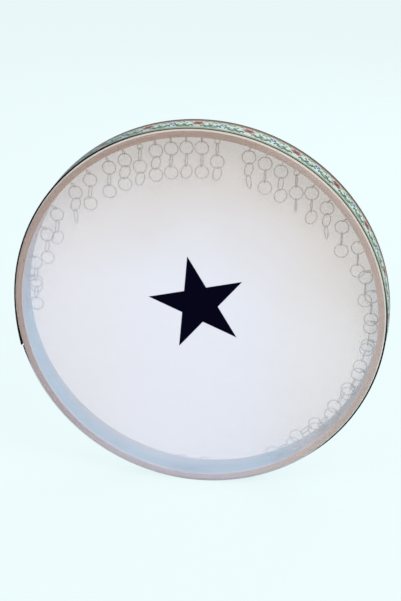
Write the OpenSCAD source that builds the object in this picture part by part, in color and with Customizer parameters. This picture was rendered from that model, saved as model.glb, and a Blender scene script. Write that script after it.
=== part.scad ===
// Ringed frame drum: a shallow wooden hoop with a translucent head, a printed trim strip
// round the outside and chains of three steel rings hung from screw eyes on the inner wall.
// Upright frame: X to the right, Z up, the head faces -Y, the origin is the hoop's centre.

/* [Hoop] */
// Outer diameter of the wooden hoop
hoop_diameter = 520; // [440:1:600]
// Depth of the hoop from front to back
hoop_depth = 48; // [46:1:70]
// Thickness of the hoop's wall
hoop_wall = 10; // [8:0.5:14]
// Radius of the outer front corner that the head rolls over
bearing_radius = 4; // [2:0.5:6]
// Radius of the two back corners
back_round = 1.5; // [0.5:0.25:2.5]

/* [Head] */
// Thickness of the film
film = 0.4; // [0.2:0.05:0.8]
// Length of film that is tucked under the trim strip
tuck = 4; // [2:0.5:8]

/* [Star] */
// Radius of the star's tips
star_radius = 70.5; // [40:0.5:90]
// Share of the tip radius at which the inner corners lie
star_waist = 0.382; // [0.3:0.002:0.5]
// Height of the star's middle above the hoop's centre
star_rise = 12; // [-20:0.5:20]
// Place of the star's middle to the right of the hoop's centre
star_side = 2; // [-20:0.5:20]
// Turn of the star from tip-up, positive anticlockwise from the front
star_turn = 13; // [-36:1:36]
// Thickness of the star's film
star_film = 0.15; // [0.1:0.05:0.4]

/* [Trim strip] */
// Width of the strip across the hoop
strip_width = 40; // [30:1:42]
// Distance from the hoop's front to the strip's front edge
strip_setback = 5; // [4:0.5:10]
// Thickness of the strip
strip_thickness = 2.2; // [0.6:0.1:3]
// Angle of the joint at the right, from horizontal
right_joint = -8; // [-40:1:10]
// Angle of the joint at the left, from the +X direction
left_joint = 195.5; // [170:0.5:220]
// Open gap at each joint, along the hoop
joint_gap = 1.5; // [1:0.5:12]
// Length of the upper strip's left end, which stands off the hoop a little
lift_length = 85; // [20:5:120]
// Radius of that end's curve as a multiple of the strip's own
lift_curve = 1.21; // [1.05:0.01:1.5]

/* [Rings] */
// Outer diameter of a ring
ring_od = 20; // [16:0.5:22]
// Diameter of the ring's wire
ring_wire = 1.5; // [1:0.1:2]
// Sideways place of the first hanging chain
first_x = 4; // [-10:1:10]
// Sideways gaps between hanging chains, from the first chain to the left
gaps_left = [1, 1, 1, 2, 1, 2, 7, 1, 7]; // [0.6:0.1:30]
// Sideways gaps between hanging chains, from the first chain to the right
gaps_right = [1, 23, 2, 1.5, 1, 1, 1, 1]; // [0.6:0.1:30]
// Chains that lie along the left wall, below the hanging ones
left_wall_chains = 3; // [1:1:6]
// Chains that lie along the right wall, below the hanging ones
right_wall_chains = 10; // [1:1:12]
// Free length of wall between two chains of one row
wall_gap = 22; // [16:1:40]
// Length of wall from the last right chain's eye to the eye of the single chain at the bottom
bottom_free = 185; // [100:5:240]

/* [Screw eyes] */
// Diameter of the eye's wire
eye_wire = 1.2; // [0.8:0.1:1.6]
// Inner diameter of the eye's loop
eye_loop = 6; // [5:0.25:8]
// Depth of the shank in the wall
shank_depth = 6; // [4:0.5:7]

/* [Clearances] */
// Glue line under the film, the star and the strip
glue = 0.05; // [0.02:0.01:0.2]
// Gap between linked wires
link_gap = 0.15; // [0.1:0.05:0.4]
// Gap between a lying ring and the wall
lie_gap = 0.3; // [0.2:0.1:1]
// Gap between the front row of rings and the head
head_gap = 3; // [2:0.5:6]
// Gap between the front row of rings and the back row
row_gap = 2; // [1:0.5:4]
// Radial fit of a shank in its pilot hole
shank_fit = 0.05; // [0.02:0.01:0.1]
// Depth of the pilot hole past the shank's end
hole_spare = 0.5; // [0.2:0.1:1]

/* [Hidden] */
$fn = 96;
outer_r = hoop_diameter / 2;
inner_r = outer_r - hoop_wall;
front = hoop_depth / 2;

film_in = outer_r + glue;
film_out = film_in + film;
tuck_end = front - strip_setback - tuck;
strip_in = film_out + glue;
strip_front = front - strip_setback;
gap_angle = joint_gap / strip_in * 180 / PI;
lift_angle = lift_length / strip_in * 180 / PI;
lift_radius = round(strip_in * lift_curve);

// Sizes of one ring and of a chain, measured from the eye's wire downwards
ring_r = (ring_od - ring_wire) / 2;
hang = (eye_wire + ring_wire) / 2 + link_gap;
pitch = 2 * ring_r - ring_wire - link_gap;
chain_reach = 2 * ring_r + 2 * pitch - hang + ring_wire / 2;

// Eye: its loop's innermost wire is set so that a ring can lie along the wall
loop_r = (eye_loop + eye_wire) / 2;
tip_r = inner_r - ring_od / 2 - lie_gap;
eye_r = tip_r + loop_r;

// Depth of the two rows, as heights above the hoop's middle with the head up
front_row = front - head_gap - ring_od / 2;
back_row = front_row - ring_od - row_gap;

// Hanging chains: sideways places summed from the gaps, then their angles on the wall
function total(list, count) = count == 0 ? 0 : list[count - 1] + total(list, count - 1);
function place(list, count) = count * ring_od + total(list, count);
function wall_angle(x, turn) = acos(max(-1, min(1, x / (turn == 0 ? tip_r : eye_r))));
left_x = [for (i = [len(gaps_left):-1:1]) first_x - place(gaps_left, i)];
right_x = [for (i = [0:len(gaps_right)]) first_x + place(gaps_right, i)];
hang_x = concat(left_x, right_x);

// Turns of the top, middle and bottom ring of each hanging chain, 0 being face-on
hang_turns = [
    [0, 90, 45], [0, 60, 120], [0, 90, 0], [0, 90, 0], [0, 50, 0],
    [90, 0, 60], [0, 60, 0], [0, 90, 0], [0, 90, 45], [0, 90, 0],
    [90, 0, 60], [0, 60, 120], [0, 90, 0], [0, 75, 30], [90, 0, 90],
    [0, 90, 40], [0, 60, 110], [0, 90, 0]
];

// Wall chains: half a chain and half a gap apart, in alternate rows
wall_turns = [0, 90, 0];
wall_step = (chain_reach + wall_gap) / 2 / tip_r * 180 / PI;
left_start = wall_angle(hang_x[0] - ring_od - gaps_right[0], 0);
right_start = wall_angle(hang_x[len(hang_x) - 1] + ring_od + gaps_right[0], 0);
function row(i) = i % 2 == 0 ? back_row : front_row;

// Each chain: angle on the wall, height of its row and the turns of its rings
hanging = [
    for (i = [0:len(hang_x) - 1])
        [wall_angle(hang_x[i], hang_turns[i][0]), front_row, hang_turns[i]]
];
left_wall = [for (i = [0:left_wall_chains - 1]) [left_start + i * wall_step, row(i), wall_turns]];
right_wall = [for (i = [0:right_wall_chains - 1]) [right_start - i * wall_step, row(i), wall_turns]];
bottom_angle = right_start - (right_wall_chains - 1) * wall_step - bottom_free / tip_r * 180 / PI;
chains = concat(left_wall, hanging, right_wall, [[bottom_angle, front_row, wall_turns]]);

// A chain leans inwards once the wall below its eye would be in its way
lie_half = asin(chain_reach / 2 / tip_r);
function side(angle) = cos(angle) < 0 ? -1 : 1;
function climb(angle) = atan2(sin(angle), abs(cos(angle)));
function lean(angle) = max(0, lie_half - climb(angle)) * -side(angle);

// Point on the eye's wire that carries the chain
function carry(angle, turn) = turn == 0
    ? [tip_r * cos(angle), tip_r * sin(angle)]
    : [eye_r * cos(angle), eye_r * sin(angle) - loop_r];

function two_digits(i) = i < 10 ? str("0", i) : str(i);
function chain_name(i) = str("ring_chain_", two_digits(i + 1));

wood = [0.80, 0.63, 0.47];
skin = [0.93, 0.93, 0.91, 0.6];
black = [0.03, 0.02, 0.06];
mint = [0.75, 0.86, 0.78];
steel = [0.66, 0.67, 0.69];

chain_names = [for (i = [0:len(chains) - 1]) chain_name(i)];

// Stands the drum up: what is drawn head-up turns its head to -Y
module upright() {
    rotate([90, 0, 0]) children();
}

// What is left outside a round corner of a square profile
module corner_waste(radius) {
    difference() {
        square(radius);
        circle(radius);
    }
}

module hoop_profile() {
    difference() {
        translate([inner_r, -front]) square([hoop_wall, hoop_depth]);
        translate([outer_r - bearing_radius, front - bearing_radius]) corner_waste(bearing_radius);
        translate([outer_r - back_round, back_round - front]) mirror([0, 1]) corner_waste(back_round);
        translate([inner_r + back_round, back_round - front]) rotate(180) corner_waste(back_round);
    }
}

module pilot_hole() {
    translate([inner_r - hole_spare, 0, 0])
        rotate([0, 90, 0])
            cylinder(d = eye_wire + 2 * shank_fit, h = shank_depth + 2 * hole_spare);
}

module frame_hoop() {
    color(wood) upright() difference() {
        rotate_extrude() hoop_profile();
        for (chain = chains)
            rotate([0, 0, chain[0]]) translate([0, 0, chain[1]]) pilot_hole();
    }
}

// Section of the film: flat front, rolled corner and the tucked edge
module head_profile() {
    corner_out = bearing_radius + glue + film;
    square_r = outer_r - bearing_radius;
    translate([0, front + glue]) square([square_r, film]);
    translate([square_r, front - bearing_radius]) difference() {
        intersection() {
            circle(corner_out);
            square(corner_out);
        }
        circle(bearing_radius + glue);
    }
    translate([film_in, tuck_end]) square([film, front - bearing_radius - tuck_end]);
}

module drum_head() {
    color(skin) upright() rotate_extrude() head_profile();
}

module star_outline() {
    polygon([
        for (i = [0:9])
            let (reach = i % 2 == 0 ? star_radius : star_radius * star_waist)
            let (angle = 90 + i * 36)
            [reach * cos(angle), reach * sin(angle)]
    ]);
}

module star() {
    color(black) upright()
        translate([star_side, star_rise, front + 2 * glue + film])
            rotate([0, 0, star_turn])
                linear_extrude(star_film) star_outline();
}

// Outline of a length of strip, curved from the X axis on
module strip_outline(radius, angle) {
    steps = ceil(angle / 40);
    reach = 2 * radius;
    intersection() {
        difference() {
            circle(radius + strip_thickness);
            circle(radius);
        }
        polygon(concat(
            [[0, 0]],
            [for (i = [0:steps]) [reach * cos(angle * i / steps), reach * sin(angle * i / steps)]]
        ));
    }
}

module strip_sheet() {
    color(mint) upright()
        translate([0, 0, strip_front - strip_width])
            linear_extrude(strip_width) children();
}

// The left end of the upper strip leaves the hoop on a wider curve
module trim_strip_upper() {
    strip_sheet() rotate(left_joint - lift_angle) {
        mirror([0, 1]) strip_outline(strip_in, left_joint - lift_angle - right_joint);
        translate([strip_in - lift_radius, 0])
            strip_outline(lift_radius, lift_length / lift_radius * 180 / PI);
    }
}

module trim_strip_lower() {
    strip_sheet()
        rotate(left_joint + gap_angle)
            strip_outline(strip_in, right_joint + 360 - left_joint - 2 * gap_angle);
}

module wire_ring(radius, wire) {
    rotate_extrude() translate([radius, 0]) circle(d = wire, $fn = 32);
}

// Screw eye with its shank along +X and its loop's middle at the origin
module eye(turn) {
    rotate([90 - turn, 0, 0]) wire_ring(loop_r, eye_wire);
    translate([loop_r, 0, 0])
        rotate([0, 90, 0])
            cylinder(d = eye_wire, h = inner_r + shank_depth - eye_r - loop_r);
}

module ring_eyes() {
    color(steel) upright()
        for (chain = chains)
            rotate([0, 0, chain[0]]) translate([eye_r, 0, chain[1]]) eye(chain[2][0]);
}

module ring_chain(chain) {
    point = carry(chain[0], chain[2][0]);
    color(steel) upright()
        translate([point[0], point[1], chain[1]])
            rotate([0, 0, lean(chain[0])])
                for (i = [0:len(chain[2]) - 1])
                    translate([0, hang - ring_r - i * pitch, 0])
                        rotate([0, chain[2][i], 0])
                            wire_ring(ring_r, ring_wire);
}

frame_hoop();
drum_head();
star();
trim_strip_upper();
trim_strip_lower();
ring_eyes();
for (i = [0:len(chains) - 1]) ring_chain(chains[i]);
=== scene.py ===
"""Looks of the ringed frame drum: translucent head, wooden hoop, printed trim strip, steel rings.

Every solid of the frame is kept and gets its own procedural material. The frame is in metres,
X to the right, Z up, and the head faces -Y. Materials measure in millimetres.
"""

import math

import bpy
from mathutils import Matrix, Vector


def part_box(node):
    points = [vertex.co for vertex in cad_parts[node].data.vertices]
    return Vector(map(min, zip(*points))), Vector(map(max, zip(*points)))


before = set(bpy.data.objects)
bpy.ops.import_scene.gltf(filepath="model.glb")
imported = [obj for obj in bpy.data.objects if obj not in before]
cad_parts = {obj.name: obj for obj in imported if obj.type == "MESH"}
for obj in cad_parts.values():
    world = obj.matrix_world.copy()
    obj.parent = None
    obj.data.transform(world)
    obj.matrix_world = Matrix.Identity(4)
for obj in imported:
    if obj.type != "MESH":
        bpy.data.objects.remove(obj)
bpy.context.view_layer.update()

MM = 0.001

# Camera: where it stands round the middle of the head, and how the picture is framed
VIEW_AZIMUTH = 10.0
VIEW_ELEVATION = 21.86
VIEW_DISTANCE = 2.5
PIXELS_PER_METRE = 723.0
IMAGE_WIDTH = 401
IMAGE_HEIGHT = 601
HEAD_MIDDLE_PIXEL = (197.16, 311.82)
SENSOR = 36.0

# Background and floor
BACKDROP = (0.87, 0.99, 1.0)
FLOOR_SIZE = 8.0
FLOOR_SHOWN_PLAIN = 0.86

# Light: the world, and three round lamps with their place in metres, power and colour
WORLD_LIGHT = (0.88, 0.95, 1.0)
WORLD_STRENGTH = 0.55
LAMP_SIZE = 1.6
WARM_LAMP = (1.0, 0.95, 0.90)
COOL_LAMP = (0.92, 0.96, 1.0)
LAMPS = (
    ("key", (1.4, -1.4, 1.8), 28.0, WARM_LAMP),
    ("fill", (-1.6, -1.6, 0.6), 14.0, COOL_LAMP),
    ("back", (0.2, 1.8, 1.2), 13.0, COOL_LAMP),
)

# Hoop: thickness of its wall, the radius that its grain runs along, and where the grain
# starts over, in degrees from +X
HOOP_WALL = 10.0
GRAIN_RADIUS = 255.0
WOOD_SEAM = 270.0

# Slanted line where the hoop's ends meet on the inner wall: turn from the top, lean along the depth
JOINT_TURN = -120.0
JOINT_LEAN = 0.41

# Small pins in the front edge of the hoop: turn from the top and distance from the middle
RIM_PINS = ((-76.3, 252.0), (-98.9, 252.5))

WOOD_PALE = (0.43, 0.33, 0.27)
WOOD_DARK = (0.32, 0.24, 0.19)
WOOD_FIBRE = (0.23, 0.155, 0.11)
PIN_BROWN = (0.06, 0.025, 0.015)
# Painted blue-grey shade on the inner wall, in two tones that follow the wood's bands
WALL_SHADE_PALE = (0.24, 0.34, 0.42)
WALL_SHADE_DEEP = (0.20, 0.28, 0.345)
WALL_FRONT = (0.52, 0.43, 0.40)
JOINT_DARK = (0.05, 0.05, 0.05)

# Film: what it scatters, what it scatters where it is glued on wood, and what it lets through, with
# painted light, painted shade and a painted highlight among them
# Painted light on the free film: cool in the middle, paler at the sides and right, warm towards the
# top
FILM_MIDDLE = (0.755, 0.795, 0.965)
FILM_SIDE = (0.75, 0.71, 0.79)
FILM_RIGHT = (0.72, 0.69, 0.68)
FILM_WARM = (0.63, 0.53, 0.45)
# Painted shade on the film near the rim at the lower right, where the rings lie dense
FILM_RING_SHADE = (0.45, 0.49, 0.52)
# Painted blue shade on the film near the wall, low down and towards the left
FILM_WALL_SHADE = (0.52, 0.78, 1.0)
# Film glued on wood, with painted light: pale and cool low down, warm high up, pale at the right
GLUED_LOW = (0.86, 0.86, 0.98)
GLUED_HIGH = (0.70, 0.62, 0.56)
GLUED_RIGHT = (0.94, 0.90, 0.86)
# Painted highlight along the film's outer corner
CORNER_HIGHLIGHT = (1.0, 0.96, 0.92)
# Light the film lets through, painted cool low down and warm towards the top and right
GLOW_COOL = (1.0, 0.90, 0.90)
GLOW_WARM = (0.83, 0.66, 0.58)
FILM_CLEAR = (1.0, 0.965, 0.97)

STAR_BLACK = (0.0006, 0.0004, 0.006)
STAR_SHEEN = (0.0012, 0.0008, 0.010)
EYE_STEEL = (0.34, 0.37, 0.38)
RING_STEEL = (0.42, 0.50, 0.52)
HANDLED_SHARE = 0.75

# Strip print: one repeat and its place in degrees, the soft edge of each printed shape, where the
# print starts over, and how far out from the hoop the front edge is dark before the print wraps it
REPEAT_ANGLE = 15.2
FLOWER_ANGLE = -0.7
PRINT_EDGE = 0.25
PRINT_SEAM = 195.7
DARK_EDGE = 1.5

GROUND_DEEP = (0.52, 0.70, 0.69)
GROUND_PALE = (0.70, 0.84, 0.85)
GROUND_BACK = (0.52, 0.52, 0.42)
# Dark laid on the print: painted shade at the upper left, and a little along the front edge at the top
PRINT_SHADE = (0.085, 0.095, 0.10)
LEAF_GREEN = (0.10, 0.19, 0.08)
DEEP_GREEN = (0.012, 0.045, 0.02)
PALE_GREEN = (0.22, 0.38, 0.22)
FLOWER_RED = (0.30, 0.11, 0.10)
FLOWER_PINK = (0.66, 0.54, 0.52)
FLOWER_HEART = (0.07, 0.045, 0.02)
FLOWER_BLUE = (0.05, 0.07, 0.20)
PALE_BLUE = (0.22, 0.42, 0.52)
BUD_YELLOW = (0.62, 0.50, 0.10)
PRINT_WHITE = (0.72, 0.78, 0.78)
EDGE_LIME = (0.38, 0.42, 0.27)
EDGE_PALE = (0.60, 0.56, 0.58)
BORDER_BROWN = (0.16, 0.10, 0.065)
BORDER_DARK = (0.045, 0.03, 0.025)
BORDER_ORANGE = (0.40, 0.25, 0.14)
BORDER_OLIVE = (0.14, 0.16, 0.11)
CORE_DARK = (0.006, 0.005, 0.006)

# Leaves of half a repeat: place along and across the strip, length, slope in degrees
FRONT_LEAVES = (
    (9.0, 12.0, 10.0, -50.0),
    (13.0, 7.0, 9.0, 25.0),
    (18.0, 14.5, 10.0, 60.0),
    (20.0, 6.5, 9.0, -20.0),
    (25.5, 8.5, 10.0, 50.0),
    (29.0, 14.0, 9.0, -35.0),
)
BACK_LEAVES = (
    (11.0, 29.0, 8.0, 40.0),
    (19.0, 33.0, 8.0, -15.0),
    (20.0, 26.0, 7.0, 65.0),
    (27.5, 30.0, 8.0, -45.0),
)
SPRIGS = (
    (6.0, 9.5, 5.0, 70.0),
    (15.5, 11.0, 5.5, -10.0),
    (22.5, 12.5, 5.0, 15.0),
    (15.5, 20.0, 5.0, -60.0),
    (24.0, 25.5, 5.0, 20.0),
    (32.0, 10.0, 5.0, 75.0),
)

# Each kind of leaf with its width, colour and rib, in the order they are laid
FOLIAGE = (
    (FRONT_LEAVES, 5.2, LEAF_GREEN, DEEP_GREEN),
    (BACK_LEAVES, 4.0, PALE_GREEN, LEAF_GREEN),
    (SPRIGS, 2.6, DEEP_GREEN, CORE_DARK),
)

# Dots of half a repeat: place along and across the strip
BUDS = ((6.5, 6.0), (15.0, 24.5), (26.0, 19.5), (31.5, 31.0))
WHITE_DOTS = ((5.0, 33.5), (14.5, 34.5), (25.0, 35.0))


def lowest(node):
    """Lowest corner of a node's box, in metres."""
    return Vector(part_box(node)[0])


def highest(node):
    """Highest corner of a node's box, in metres."""
    return Vector(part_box(node)[1])


def hoop_outer():
    """Radius of the hoop's outside, in millimetres."""
    return highest("frame_hoop").z / MM


def hoop_inner():
    """Radius of the hoop's inner wall, in millimetres."""
    return hoop_outer() - HOOP_WALL


class Field:
    """A number that varies over a surface, held as a socket of a shader's nodes."""

    def __init__(self, tree, socket):
        self.tree = tree
        self.socket = socket

    def math(self, operation, *others):
        node = self.tree.nodes.new("ShaderNodeMath")
        node.operation = operation
        for slot, value in zip(node.inputs, (self,) + others):
            feed(self.tree, slot, value)
        return Field(self.tree, node.outputs[0])

    def __add__(self, other):
        return self.math("ADD", other)

    def __sub__(self, other):
        return self.math("SUBTRACT", other)

    def __mul__(self, other):
        return self.math("MULTIPLY", other)

    def __truediv__(self, other):
        return self.math("DIVIDE", other)

    def sine(self):
        return self.math("SINE")

    def size(self):
        return self.math("ABSOLUTE")

    def root(self):
        return self.math("SQRT")

    def angle_to(self, other):
        return self.math("ARCTAN2", other)

    def both(self, other):
        return self.math("MINIMUM", other)

    def either(self, other):
        return self.math("MAXIMUM", other)

    def folded(self, length):
        """Runs up to a length and back again."""
        return self.math("PINGPONG", length)

    def between(self, low, high, to_low=0.0, to_high=1.0):
        """Smooth step from to_low at low to to_high at high."""
        node = self.tree.nodes.new("ShaderNodeMapRange")
        node.interpolation_type = "SMOOTHSTEP"
        feed(self.tree, node.inputs["Value"], self)
        node.inputs["From Min"].default_value = low
        node.inputs["From Max"].default_value = high
        node.inputs["To Min"].default_value = to_low
        node.inputs["To Max"].default_value = to_high
        return Field(self.tree, node.outputs["Result"])


def feed(tree, slot, value):
    """Puts a field, a socket or a plain value into an input."""
    if isinstance(value, Field):
        tree.links.new(value.socket, slot)
    elif isinstance(value, bpy.types.NodeSocket):
        tree.links.new(value, slot)
    elif isinstance(value, tuple) and len(value) == 3 and slot.type == "RGBA":
        slot.default_value = (*value, 1.0)
    else:
        slot.default_value = value


def new_node(tree, kind, **inputs):
    """A shader node with its inputs filled, an underscore in a name standing for a space."""
    node = tree.nodes.new(kind)
    for name, value in inputs.items():
        feed(tree, node.inputs[name.replace("_", " ")], value)
    return node


def new_material(name):
    """An empty node material and its tree."""
    material = bpy.data.materials.new(name)
    material.use_nodes = True
    material.node_tree.nodes.clear()
    return material, material.node_tree


def set_surface(tree, shader_socket):
    output = tree.nodes.new("ShaderNodeOutputMaterial")
    tree.links.new(shader_socket, output.inputs["Surface"])


def principled(tree, colour, roughness, **others):
    """The main shader of a surface."""
    shader = new_node(
        tree, "ShaderNodeBsdfPrincipled", Base_Color=colour, Roughness=roughness, **others
    )
    return shader.outputs["BSDF"]


def blend(tree, first, second, share):
    """Shader first where share is 0 and shader second where it is 1."""
    mix = new_node(tree, "ShaderNodeMixShader", Fac=share)
    tree.links.new(first, mix.inputs[1])
    tree.links.new(second, mix.inputs[2])
    return mix.outputs["Shader"]


def paint(tree, under, over, mask):
    """Colour over laid on colour under where mask is 1."""
    node = tree.nodes.new("ShaderNodeMix")
    node.data_type = "RGBA"
    feed(tree, node.inputs["Factor"], mask)
    feed(tree, node.inputs[6], under)
    feed(tree, node.inputs[7], over)
    return node.outputs[2]


def bump(tree, height, strength, distance):
    node = new_node(tree, "ShaderNodeBump", Height=height, Strength=strength, Distance=distance)
    return node.outputs["Normal"]


def noise(tree, x, y, z, detail=3.0, roughness=0.55):
    """Soft noise about 1 unit in size."""
    place = new_node(tree, "ShaderNodeCombineXYZ", X=x, Y=y, Z=z).outputs["Vector"]
    node = new_node(
        tree, "ShaderNodeTexNoise", Vector=place, Scale=1.0, Detail=detail, Roughness=roughness
    )
    return Field(tree, node.outputs["Fac"])


def even_noise(tree, place, scale, detail=3.0):
    """Noise of the same size along all three measures of a place."""
    x, y, z = place
    return noise(tree, x * scale, y * scale, z * scale, detail)


def position(tree):
    """Object coordinates in millimetres."""
    coordinates = tree.nodes.new("ShaderNodeTexCoord")
    split = new_node(tree, "ShaderNodeSeparateXYZ", Vector=coordinates.outputs["Object"])
    return tuple(Field(tree, split.outputs[axis]) / MM for axis in "XYZ")


def from_axis(x, z):
    """Distance from the drum's axis."""
    return (x * x + z * z).root()


def turn_from_top(x, z, seam):
    """Turn clockwise from the top in radians, which starts over at a seam in degrees from +X."""
    facing = math.radians(seam - 180.0)
    ahead = x * math.cos(facing) + z * math.sin(facing)
    beside = z * math.cos(facing) - x * math.sin(facing)
    return beside.angle_to(ahead) * -1.0 + (math.pi / 2 - facing)


def rim_pins(tree, colour, turn, depth, reach):
    """Lays the small pins of the hoop's front edge on a colour."""
    for pin_turn, pin_reach in RIM_PINS:
        aside = (turn - math.radians(pin_turn)) * pin_reach
        out = reach - pin_reach
        pin = (aside * aside + out * out).root().between(1.2, 2.0, 1.0, 0.0)
        colour = paint(tree, colour, PIN_BROWN, pin * depth.between(-23.0, -21.0, 1.0, 0.0))
    return colour


def wall_colour(tree, turn, depth, band):
    """The hoop's inner wall: bare at the front, then painted cool blue-grey shade, with a slanted
    joint line.
    """
    # Painted shade: the wall behind the film drawn blue-grey
    blue_shade = paint(tree, WALL_SHADE_PALE, WALL_SHADE_DEEP, band)
    wall = paint(tree, WALL_FRONT, blue_shade, depth.between(-20.5, -17.0))
    from_joint = ((turn - math.radians(JOINT_TURN)) * hoop_inner() + depth * JOINT_LEAN).size()
    joint_length = depth.between(-17.0, -15.0) * depth.between(20.0, 22.0, 1.0, 0.0)
    return paint(tree, wall, JOINT_DARK, from_joint.between(0.6, 1.2, 1.0, 0.0) * joint_length)


def wood_material():
    """Pale bent hardwood with its grain running round the hoop, with painted cool grey shade inside.
    """
    material, tree = new_material("hoop_wood")
    x, depth, z = position(tree)
    reach = from_axis(x, z)
    turn = turn_from_top(x, z, WOOD_SEAM)
    along = turn * GRAIN_RADIUS
    fibre = noise(tree, along * 0.012, depth * 0.9, reach * 0.9, detail=5.0, roughness=0.65)
    band = noise(tree, along * 0.004, depth * 0.12, reach * 0.35, detail=2.0).between(0.35, 0.68)
    colour = paint(tree, WOOD_PALE, WOOD_DARK, band)
    colour = paint(tree, colour, WOOD_FIBRE, fibre.between(0.56, 0.74, 0.0, 0.55))
    colour = rim_pins(tree, colour, turn, depth, reach)
    on_wall = reach.between(hoop_inner() + 0.2, hoop_inner() + 0.6, 1.0, 0.0)
    colour = paint(tree, colour, wall_colour(tree, turn, depth, band), on_wall)
    roughness = fibre.between(0.3, 0.8, 0.42, 0.58)
    grain = bump(tree, fibre, 0.25, 0.0004)
    set_surface(tree, principled(tree, colour, roughness, Normal=grain))
    return material


def film_scatter(tree, x, z, reach, warm):
    """What the free film scatters, with painted light and shade: cool in the middle, warm at the top,
    painted shade over the rings and a painted blue shade near the wall.
    """
    colour = paint(tree, FILM_MIDDLE, FILM_SIDE, x.size().between(10.0, 200.0, 0.0, 0.9))
    colour = paint(tree, colour, FILM_RIGHT, x.between(70.0, 230.0))
    colour = paint(tree, colour, FILM_WARM, warm)
    # Painted shade of the dense rings near the rim at the lower right
    ring_shade = reach.between(236.0, 244.0, 0.0, 0.75) * x.between(150.0, 200.0)
    ring_shade = ring_shade * z.between(40.0, 90.0, 1.0, 0.0)
    colour = paint(tree, colour, FILM_RING_SHADE, ring_shade)
    # Painted blue shade on the film where the inner wall lies behind it, low down and towards the left
    wall_shade_tint = reach.between(224.0, 240.0) * z.between(-90.0, 120.0, 0.9, 0.0)
    wall_shade_tint = wall_shade_tint * x.between(100.0, 170.0, 1.0, 0.0)
    return paint(tree, colour, FILM_WALL_SHADE, wall_shade_tint)


def glued_tint(tree, x, z):
    """What the film scatters where it is glued on the front edge of the hoop, with painted light: pale
    and cool low down, warmer and darker high up, pale at the right.
    """
    # Painted light: cool low down, warm high up, paler at the right
    tint = paint(tree, GLUED_LOW, GLUED_HIGH, z.between(-170.0, 0.0))
    return paint(tree, tint, GLUED_RIGHT, x.between(20.0, 170.0))


def film_material():
    """Translucent drum head: milky film that lets shapes close behind it show.

    It scatters cool light and passes warm light, both with painted light on them, is glued
    clear on the wood and has a painted highlight over the outer corner.
    """
    material, tree = new_material("head_film")
    x, y, z = position(tree)
    reach = from_axis(x, z)
    inner = hoop_inner()
    outer = hoop_outer()
    cloud = even_noise(tree, (x, y, z), 0.012, detail=2.0)
    fine = even_noise(tree, (x, y, z), 1.3, detail=2.0)
    right = x.either(0.0)
    # Painted light: warm towards the top and right, used for what the film scatters and what it lets
    # through
    warm = (z + right * right * 0.0022 + cloud * 60.0).between(40.0, 300.0)
    low = z.between(-250.0, -150.0, 1.0, 0.0)
    on_wood = reach.between(inner - 0.5, inner + 0.5)
    # Painted highlight along the outer corner at the top and right, where the film is also drawn more
    # opaque
    corner_highlight = reach.between(outer - 1.9, outer - 0.5) * (z + x).between(-250.0, 50.0)
    colour = film_scatter(tree, x, z, reach, warm)
    colour = paint(tree, colour, glued_tint(tree, x, z), on_wood)
    colour = paint(tree, colour, CORNER_HIGHLIGHT, corner_highlight)
    roughness = fine.between(0.3, 0.7, 0.42, 0.52)
    skin = bump(tree, fine, 0.05, 0.0002)
    surface = principled(tree, colour, roughness, Normal=skin, Specular_IOR_Level=0.3)
    # Light the film lets through, painted warmer towards the top and right
    passing = paint(tree, GLOW_COOL, GLOW_WARM, warm)
    glow = new_node(tree, "ShaderNodeBsdfTranslucent", Color=passing)
    milk = blend(tree, surface, glow.outputs["BSDF"], corner_highlight * -0.25 + 0.5)
    clear = new_node(tree, "ShaderNodeBsdfTransparent", Color=FILM_CLEAR)
    cover = cloud.between(0.2, 0.8, 0.42, 0.46)
    cover = cover - on_wood * (low * -0.24 + 0.10) + corner_highlight * 0.5
    set_surface(tree, blend(tree, clear.outputs["BSDF"], milk, cover))
    return material


def star_material():
    """Black adhesive film with a faint uneven sheen."""
    material, tree = new_material("star_vinyl")
    mottle = even_noise(tree, position(tree), 0.2)
    colour = paint(tree, STAR_BLACK, STAR_SHEEN, mottle)
    roughness = mottle.between(0.2, 0.8, 0.38, 0.5)
    set_surface(tree, principled(tree, colour, roughness, Specular_IOR_Level=0.02))
    return material


def steel_material(name, tint, roughness):
    """Plated steel wire, slightly uneven from handling."""
    material, tree = new_material(name)
    wear = even_noise(tree, position(tree), 0.6)
    handled = tuple(channel * HANDLED_SHARE for channel in tint)
    colour = paint(tree, tint, handled, wear.between(0.4, 0.8))
    uneven = wear.between(0.2, 0.8, roughness, roughness + 0.16)
    set_surface(tree, principled(tree, colour, uneven, Metallic=1.0))
    return material


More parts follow.
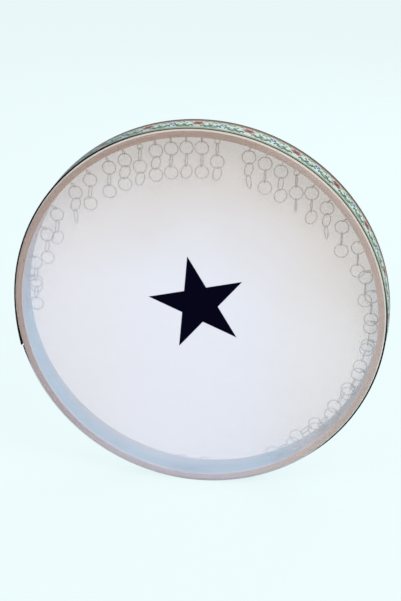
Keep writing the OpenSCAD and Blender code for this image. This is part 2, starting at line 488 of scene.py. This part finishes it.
class StripPrint:
    """The printed vine border: shapes laid one on another in millimetres along and across."""

    def __init__(self, tree, along, across, ground):
        self.tree = tree
        self.along = along
        self.across = across
        self.colour = ground

    def lay(self, colour, inside):
        """Lays a colour where inside, a distance in millimetres, is above 0."""
        mask = inside.between(-PRINT_EDGE, PRINT_EDGE)
        self.colour = paint(self.tree, self.colour, colour, mask)

    def local(self, along, across, turn=0.0):
        """Coordinates turned by an angle, from a point of the border."""
        x = self.along - along
        y = self.across - across
        cosine = math.cos(math.radians(turn))
        sine = math.sin(math.radians(turn))
        return x * cosine + y * sine, y * cosine - x * sine

    def leaf(self, along, across, length, width, turn, colour, rib):
        """Pointed leaf with a darker rib."""
        x, y = self.local(along, across, turn)
        part = x / (length / 2)
        half = (part * part * -1.0 + 1.0) * (width / 2)
        self.lay(colour, half - y.size())
        self.lay(rib, half.both(width * 0.11) - y.size())

    def flower(self, along, across, radius, petals, colour, rim):
        """Round flower with lobed petals and a paler rim."""
        x, y = self.local(along, across)
        reach = (x * x + y * y).root()
        lobes = (x.angle_to(y) * (petals / 2)).sine().size()
        edge = lobes * (radius * 0.34) + radius * 0.66
        self.lay(rim, edge - reach)
        self.lay(colour, edge * 0.8 - reach)

    def dot(self, along, across, radius, colour):
        x, y = self.local(along, across)
        self.lay(colour, (x * x + y * y).root() * -1.0 + radius)

    def stem(self, middle, rise, span, width, colour):
        """Wave from the flower to the edge of the repeat."""
        wave = (self.along * (math.pi / span)).sine() * rise + middle
        self.lay(colour, (self.across - wave).size() * -1.0 + width / 2)

    def line(self, low, high, colour):
        """Straight line along the border."""
        middle = (low + high) / 2
        self.lay(colour, (self.across - middle).size() * -1.0 + (high - low) / 2)


def draw_border(border, half_repeat, width):
    """One half of the mirrored repeat, from the red flower to the blue one."""
    middle = width * 0.52
    rise = width * 0.25
    border.line(-1.0, 1.0, EDGE_LIME)
    border.stem(middle, rise, half_repeat, 1.3, PALE_BLUE)
    border.stem(middle, -rise, half_repeat, 1.5, DEEP_GREEN)
    for leaves, breadth, colour, rib in FOLIAGE:
        for along, across, length, slope in leaves:
            border.leaf(along, across, length, breadth, slope, colour, rib)
    for along, across in BUDS:
        border.dot(along, across, 1.9, BUD_YELLOW)
    for along, across in WHITE_DOTS:
        border.dot(along, across, 1.5, PRINT_WHITE)
    border.flower(half_repeat, middle, 5.5, 5, FLOWER_BLUE, PALE_BLUE)
    border.dot(half_repeat, middle, 1.6, PRINT_WHITE)
    border.flower(0.0, middle, 10.5, 6, FLOWER_RED, FLOWER_PINK)
    border.dot(0.0, middle, 3.0, FLOWER_HEART)
    border.line(width - 8.0, width - 3.4, BORDER_BROWN)
    border.line(width - 3.6, width + 1.0, BORDER_DARK)
    border.line(width - 10.0, width - 7.4, BORDER_ORANGE)
    border.line(0.8, 1.8, BORDER_OLIVE)


def shaded_print(tree, colour, x, z, across):
    """The print with painted shade at the upper left, and a little darker along its front edge at the
    top.
    """
    front = across.between(8.0, 14.0, 0.25, 0.0) * x.between(-20.0, 90.0, 1.0, 0.0)
    # Painted shade on the print at the upper left, strongest high up
    upper_left_shade = x.between(-210.0, -20.0, 0.85, 0.0) * z.between(-60.0, 110.0, 0.3, 1.0)
    return paint(tree, colour, PRINT_SHADE, front.either(upper_left_shade))


def edge_colour(tree, x, z, reach):
    """The strip's cut edges: pale at the bottom, dark elsewhere, wrapped in lime at the top."""
    dark_reach = hoop_outer() + DARK_EDGE
    wrapped = reach.between(dark_reach - 0.1, dark_reach + 0.1)
    wrapped = wrapped * z.between(0.0, 70.0) * x.between(-140.0, -20.0)
    dark = z.between(-110.0, -80.0).either(x.between(150.0, 185.0))
    core = paint(tree, EDGE_PALE, CORE_DARK, dark)
    return paint(tree, core, EDGE_LIME, wrapped)


def facing_out(tree, x, z, reach):
    """1 where the surface faces straight away from the drum's axis."""
    geometry = tree.nodes.new("ShaderNodeNewGeometry")
    normal = new_node(tree, "ShaderNodeSeparateXYZ", Vector=geometry.outputs["Normal"])
    out_x = Field(tree, normal.outputs["X"])
    out_z = Field(tree, normal.outputs["Z"])
    return (out_x * x + out_z * z) / reach


def strip_material():
    """Printed trim strip: vine border outside, plain core on the cut edges."""
    material, tree = new_material("trim_strip_print")
    low = lowest("trim_strip_upper")
    high = highest("trim_strip_upper")
    width = (high.y - low.y) / MM
    radius = high.z / MM
    half_repeat = radius * math.radians(REPEAT_ANGLE) / 2
    x, y, z = position(tree)
    reach = from_axis(x, z)
    along = (turn_from_top(x, z, PRINT_SEAM) - math.radians(FLOWER_ANGLE)) * radius
    across = y - low.y / MM
    speckle = even_noise(tree, (along, across, reach), 0.5)
    ground = paint(tree, GROUND_DEEP, GROUND_PALE, speckle.between(0.3, 0.7))
    ground = paint(tree, ground, GROUND_BACK, across.between(20.0, 34.0, 0.0, 0.6))
    border = StripPrint(tree, along.folded(half_repeat), across, ground)
    draw_border(border, half_repeat, width)
    outside = shaded_print(tree, border.colour, x, z, across)
    is_outside = facing_out(tree, x, z, reach).between(0.7, 0.9)
    colour = paint(tree, edge_colour(tree, x, z, reach), outside, is_outside)
    roughness = speckle.between(0.2, 0.8, 0.48, 0.6)
    set_surface(tree, principled(tree, colour, roughness, Specular_IOR_Level=0.1))
    return material


def dress(node, material):
    """Gives a solid of the frame its material."""
    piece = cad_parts[node]
    piece.data.materials.clear()
    piece.data.materials.append(material)


def dress_drum():
    dress("frame_hoop", wood_material())
    dress("drum_head", film_material())
    dress("star", star_material())
    strip = strip_material()
    dress("trim_strip_upper", strip)
    dress("trim_strip_lower", strip)
    dress("ring_eyes", steel_material("eye_steel", EYE_STEEL, 0.36))
    ring_steel = steel_material("ring_steel", RING_STEEL, 0.28)
    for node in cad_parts:
        if node.startswith("ring_chain"):
            dress(node, ring_steel)


def pale_to_eye(tree, lit_socket, background_socket, share):
    """Shows the plain background to the eye and in reflections, and the lit surface otherwise."""
    path = tree.nodes.new("ShaderNodeLightPath")
    seen = Field(tree, path.outputs["Is Camera Ray"])
    seen = seen.either(Field(tree, path.outputs["Is Glossy Ray"]))
    seen = seen.either(Field(tree, path.outputs["Is Transmission Ray"]))
    return blend(tree, lit_socket, background_socket, seen * share)


def make_world():
    world = bpy.data.worlds.new("studio")
    world.use_nodes = True
    tree = world.node_tree
    tree.nodes.clear()
    light = new_node(tree, "ShaderNodeBackground", Color=WORLD_LIGHT, Strength=WORLD_STRENGTH)
    shown = new_node(tree, "ShaderNodeBackground", Color=BACKDROP, Strength=1.0)
    output = tree.nodes.new("ShaderNodeOutputWorld")
    surface = pale_to_eye(tree, light.outputs["Background"], shown.outputs["Background"], 1.0)
    tree.links.new(surface, output.inputs["Surface"])
    bpy.context.scene.world = world


def floor_material():
    """Pale floor that shows the plain background and keeps a faint shadow."""
    material, tree = new_material("floor_pale")
    lit = new_node(tree, "ShaderNodeBsdfDiffuse", Color=BACKDROP).outputs["BSDF"]
    plain = new_node(tree, "ShaderNodeEmission", Color=BACKDROP, Strength=1.0).outputs["Emission"]
    set_surface(tree, pale_to_eye(tree, lit, plain, FLOOR_SHOWN_PLAIN))
    return material


def make_floor():
    """Floor under the lowest edge of the strip."""
    half = FLOOR_SIZE / 2
    height = lowest("trim_strip_lower").z
    corners = [(x, y, height) for x, y in ((-half, -half), (half, -half), (half, half), (-half, half))]
    mesh = bpy.data.meshes.new("floor")
    mesh.from_pydata(corners, [], [(0, 1, 2, 3)])
    mesh.materials.append(floor_material())
    floor = bpy.data.objects.new("floor", mesh)
    bpy.context.scene.collection.objects.link(floor)


def make_lights():
    """Round soft lamps turned to the middle of the drum."""
    for name, place, power, colour in LAMPS:
        data = bpy.data.lights.new(name, "AREA")
        data.shape = "DISK"
        data.size = LAMP_SIZE
        data.energy = power
        data.color = colour
        lamp = bpy.data.objects.new(name, data)
        lamp.location = place
        lamp.rotation_euler = (-Vector(place)).to_track_quat("-Z", "Y").to_euler()
        bpy.context.scene.collection.objects.link(lamp)


def make_camera():
    """Camera turned to the middle of the head, shifted as the photograph is framed."""
    azimuth = math.radians(VIEW_AZIMUTH)
    elevation = math.radians(VIEW_ELEVATION)
    level = math.cos(elevation)
    back = Vector((math.sin(azimuth) * level, -math.cos(azimuth) * level, math.sin(elevation)))
    head_middle = Vector((0.0, lowest("drum_head").y, 0.0))
    data = bpy.data.cameras.new("camera")
    data.sensor_width = SENSOR
    data.lens = SENSOR * PIXELS_PER_METRE * VIEW_DISTANCE / IMAGE_HEIGHT
    data.shift_x = (IMAGE_WIDTH / 2 - HEAD_MIDDLE_PIXEL[0]) / IMAGE_HEIGHT
    data.shift_y = (HEAD_MIDDLE_PIXEL[1] - IMAGE_HEIGHT / 2) / IMAGE_HEIGHT
    data.dof.use_dof = False
    camera = bpy.data.objects.new("camera", data)
    camera.location = head_middle + back * VIEW_DISTANCE
    camera.rotation_euler = (-back).to_track_quat("-Z", "Y").to_euler()
    bpy.context.scene.collection.objects.link(camera)
    bpy.context.scene.camera = camera


make_camera()
dress_drum()
make_world()
make_floor()
make_lights()
bpy.context.scene.view_settings.view_transform = "Standard"
